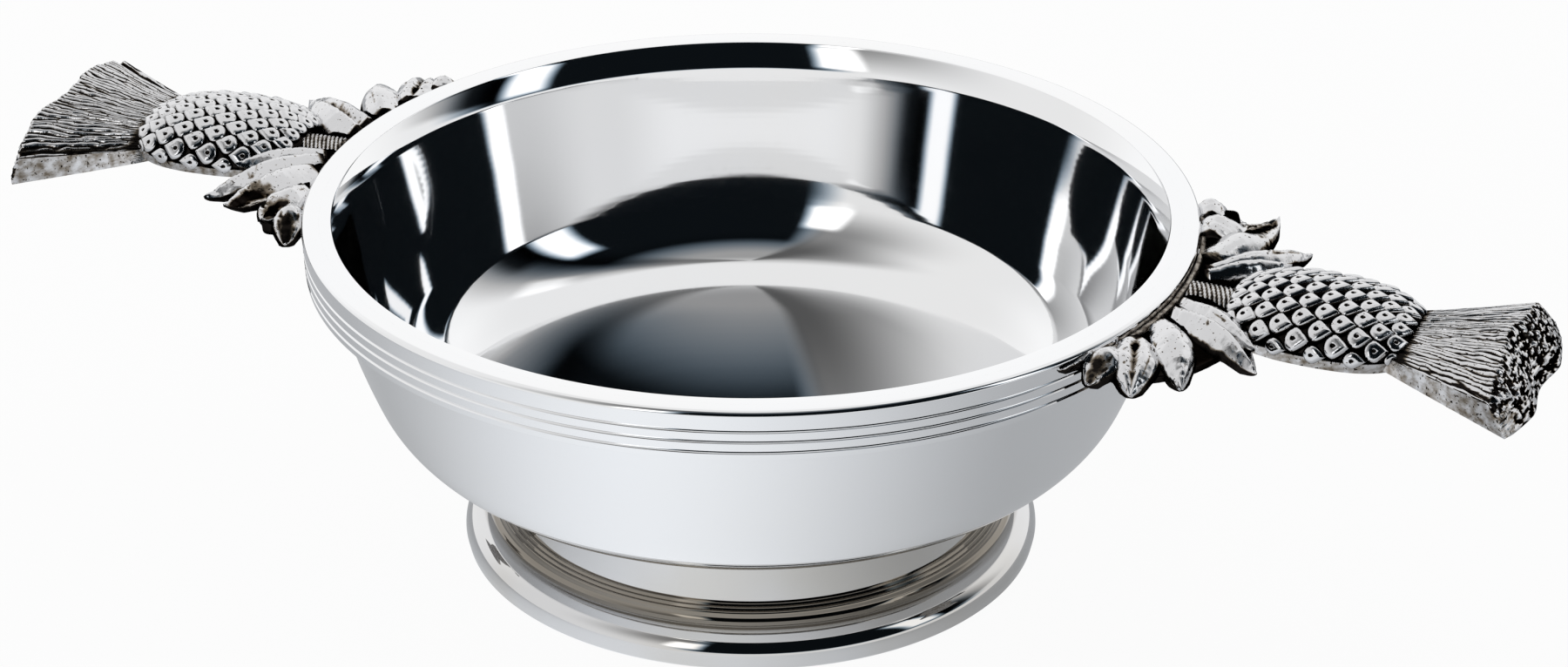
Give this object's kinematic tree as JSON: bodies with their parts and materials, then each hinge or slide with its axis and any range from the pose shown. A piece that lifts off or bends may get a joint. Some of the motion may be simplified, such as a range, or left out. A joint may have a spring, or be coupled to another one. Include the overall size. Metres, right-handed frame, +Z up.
{
  "type": "two-handled drinking cup",
  "caption": "Shallow round pewter quaich with a reeded rim band, a spun ring foot and flat thistle lug handles soldered to the rim; drinks are held and passed with both hands.",
  "frame": {"origin": "middle of the foot's base ring, on the table", "axes": "+Z up through the bowl's axis, +X through the right handle, -Y towards the front"},
  "size_m": [0.2078, 0.115, 0.0493],
  "materials": {
    "polished_pewter": "spun pewter, buffed to a mirror",
    "antiqued_pewter": "cast pewter with blackened recesses and rubbed high points",
    "solder": "soft solder, dull and brownish"
  },
  "bodies": {
    "root": {"bowl": "polished_pewter", "rim_band": "polished_pewter", "foot": "polished_pewter", "foot_solder": "solder", "handle_right": "antiqued_pewter", "handle_right_solder": "solder", "handle_left": "antiqued_pewter", "handle_left_solder": "solder"}
  },
  "joints": []
}
